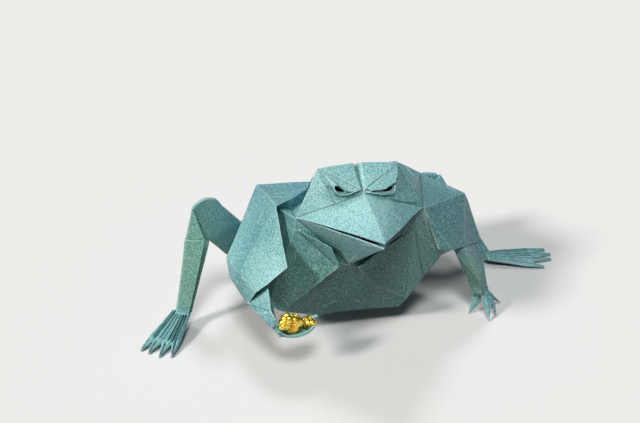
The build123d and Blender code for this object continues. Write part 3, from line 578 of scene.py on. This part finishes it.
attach(paper_fibres, "root")

# The nuggets
# Two lumps of native gold, rough and crinkled as they come out of a river bed.
# They only lie in the palm, the small one against the large one.
GOLD_EDGE = 0.00030
LONGWAYS, LONGER = np.array([0.80, 0.10, -0.59]), 1.18      # each is a little oblong
LUMPS, CRINKLES = (0.0029, 0.0010, 3), (0.0012, 0.00035, 4)      # spacing, depth and seed of each kind
LUMPS_PER_PATCH = 11          # middles on a ball whose radius is the spacing
VALLEY_REACH, VALLEY_BEND = 1.2, 1.3      # how far from a middle the valleys end, and how they steepen


def oblong(points, centre):
    """Points moved out along LONGWAYS, about the centre."""
    along = ((points - centre) @ LONGWAYS)[:, None] * LONGWAYS
    return points + along * (LONGER - 1)


def crinkled(points, centre, spacing, depth, seed):
    """Lumps: each point sinks towards the centre by its distance from the nearest of many random middles
    on the surface, so that the middles stand out and the valleys between them are sharp. Gives the points
    and how far each sank, from 0 to 1."""
    random = np.random.default_rng(seed)
    reach = np.abs(points - centre).max(0)
    count = int(LUMPS_PER_PATCH * (reach.mean() / spacing) ** 2)
    middles = random.normal(size=(count, 3))
    middles = centre + middles / np.linalg.norm(middles, axis=1, keepdims=True) * reach
    nearest = np.linalg.norm(points[:, None] - middles[None], axis=2).min(1) / spacing
    inward = centre - points
    inward /= np.linalg.norm(inward, axis=1, keepdims=True)
    sunk = np.clip(nearest, 0, VALLEY_REACH) ** VALLEY_BEND
    return points + inward * (depth * sunk)[:, None], sunk / VALLEY_REACH ** VALLEY_BEND


def gold_finish():
    """Bright native gold, with painted shade and an orange painted reflection in its valleys."""
    material, shader, node, join, mix = new_material("gold")
    place = node("ShaderNodeTexCoord").outputs["Object"]
    grain = node("ShaderNodeTexNoise", scale=900.0, detail=4.0)
    join(place, grain.inputs["Vector"])
    valley = node("ShaderNodeAttribute", attribute_name="valley").outputs["Fac"]
    shade = mix(ranged(node, join, grain.outputs["Fac"], 0.35, 0.65), srgb(250, 202, 52), srgb(255, 236, 124))
    shade = mix(ranged(node, join, grain.outputs["Fac"], 0.46, 0.34, 0.0, 0.8), shade, srgb(150, 84, 10))
    # painted shade and orange painted reflection in the valleys
    shade = mix(ranged(node, join, valley, 0.30, 0.75), shade, srgb(190, 96, 14))
    join(shade, shader.inputs["Base Color"])
    join(ranged(node, join, grain.outputs["Fac"], 0.3, 0.7, 0.30, 0.12), shader.inputs["Roughness"])
    pits = node("ShaderNodeBump", distance=0.0005, strength=0.9)
    join(grain.outputs["Fac"], pits.inputs["Height"])
    join(pits.outputs[0], shader.inputs["Normal"])
    shader.inputs["Metallic"].default_value = 1.0
    return material


gold = gold_finish()
for size in ("large", "small"):
    node_name = f"gold_nugget_{size}"
    lump = refined_copy(node_name, f"{size}_nugget", GOLD_EDGE, GOLD_EDGE)
    lump_points = read_points(lump)
    lump_middle = (lump_points.min(0) + lump_points.max(0)) / 2
    lump_points, valley = crinkled(oblong(lump_points, lump_middle), lump_middle, *LUMPS)
    write_points(lump, crinkled(lump_points, lump_middle, *CRINKLES)[0])
    add_number(lump, "valley", valley)
    lump.data.shade_smooth()
    lump.data.materials.append(gold)
    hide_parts(node_name)
    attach(lump, "root")

# The table
# A plain pale surface that the frog stands on.
# It throws back only as much light on the frog as a dark cloth would.
TABLE_SIZE = 8.0
bpy.ops.mesh.primitive_plane_add(size=TABLE_SIZE)
table = bpy.context.object
table.name = "table"


def seen_or_mirrored(node, join):
    """1 for a ray from the camera or one that gloss or glass sends on, and 0 for light that bounces."""
    rays = node("ShaderNodeLightPath").outputs
    total = rays["Is Camera Ray"]
    for name in ("Is Glossy Ray", "Is Transmission Ray"):
        added = node("ShaderNodeMath", operation="MAXIMUM")
        join(total, added.inputs[0])
        join(rays[name], added.inputs[1])
        total = added.outputs[0]
    return total


table_material, table_shader, node, join, mix = new_material("pale_table")
join(mix(seen_or_mirrored(node, join), srgb(98, 94, 92), srgb(241, 239, 236)), table_shader.inputs["Base Color"])
table_shader.inputs["Roughness"].default_value = 0.85
table.data.materials.append(table_material)

# The camera and the lamps
# The camera stands before the frog, 14 degrees round to its right side and 30 degrees up.
# One lamp from the left lights the snout and the right sleeve, and weaker ones come from above and behind.
VIEW_FROM, VIEW_DISTANCE = (-14, 30), 0.700
VIEW_MIDDLE = np.array([-0.01423, 0.01419, 0.045])
LAMPS = {"key": ((-68, 35), 10, 0.66, (1.0, 0.98, 0.95)), "above": ((-14, 58), 14, 0.45, (0.94, 0.98, 1.0)),
         "behind": ((180, 60), 14, 0.22, (0.92, 0.97, 1.0))}


def aim(item, azimuth, height, distance):
    """Places a camera or lamp round VIEW_MIDDLE, by its angle round from the front towards +X and its angle
    up, and turns its -Z to the middle."""
    a, h = math.radians(azimuth), math.radians(height)
    away = Vector((math.sin(a) * math.cos(h), -math.cos(a) * math.cos(h), math.sin(h)))
    item.location = Vector(VIEW_MIDDLE) + distance * away
    item.rotation_mode = "QUATERNION"
    item.rotation_quaternion = away.to_track_quat("Z", "Y")


camera = bpy.data.objects.new("camera", bpy.data.cameras.new("camera"))
camera.data.sensor_width, camera.data.lens = 36.0, 84.66
bpy.context.scene.collection.objects.link(camera)
bpy.context.scene.camera = camera
aim(camera, *VIEW_FROM, VIEW_DISTANCE)

for name, (direction, spread, level, tint) in LAMPS.items():
    lamp = bpy.data.objects.new(name, bpy.data.lights.new(name, "SUN"))
    lamp.data.angle, lamp.data.energy, lamp.data.color = math.radians(spread), level * math.pi, tint
    bpy.context.scene.collection.objects.link(lamp)
    aim(lamp, *direction, 1.0)

world = bpy.data.worlds.new("studio")
bpy.context.scene.world = world
world.use_nodes = True
background = world.node_tree.nodes["Background"]
background.inputs["Color"].default_value = (0.95, 0.97, 1.0, 1.0)
node, join, mix = node_tools(world.node_tree)
join(ranged(node, join, seen_or_mirrored(node, join), 0, 1, 0.05, 0.40), background.inputs["Strength"])
bpy.context.scene.view_settings.view_transform = "Standard"
